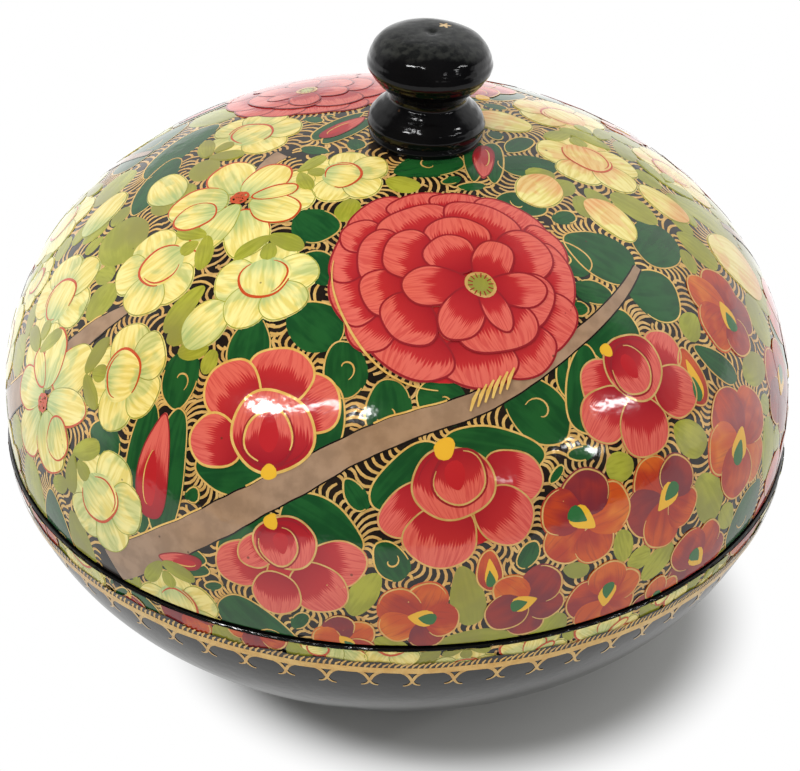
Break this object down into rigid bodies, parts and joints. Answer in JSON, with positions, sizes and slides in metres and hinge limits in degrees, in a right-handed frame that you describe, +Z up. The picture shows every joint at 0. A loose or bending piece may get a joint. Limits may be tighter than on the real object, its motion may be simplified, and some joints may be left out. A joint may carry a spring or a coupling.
{
  "type": "lidded box",
  "caption": "Round lidded trinket box of lacquered papier-mache: a domed painted lid with a turned knob, lifting off a collar in a footed bowl.",
  "frame": {"origin": "centre of the foot, on the surface that the box stands on", "axes": "+Z up through the crown of the lid; -Y towards the side that the picture shows; +X to the right of it, the way that the knob leans"},
  "size_m": [0.1388, 0.1388, 0.1202],
  "materials": {
    "painted_bowl": "black ground with a painted band at the rim, under clear gloss lacquer, over papier-mache",
    "painted_lid": "hand painted flowers and leaves on a black ground, under clear gloss lacquer, over papier-mache",
    "black_lacquer": "black gloss lacquer over papier-mache",
    "black_knob": "black gloss lacquer over turned wood"
  },
  "bodies": {
    "bowl": {"bowl_shell": "painted_bowl", "bowl_collar": "black_lacquer", "foot_ring": "black_lacquer"},
    "lid": {"lid_shell": "painted_lid", "knob": "black_knob"}
  },
  "joints": [
    {"name": "lid_lift", "type": "slide", "parent": "bowl", "child": "lid", "axis": [0, 0, 1], "range_m": [0, 0.08]}
  ]
}
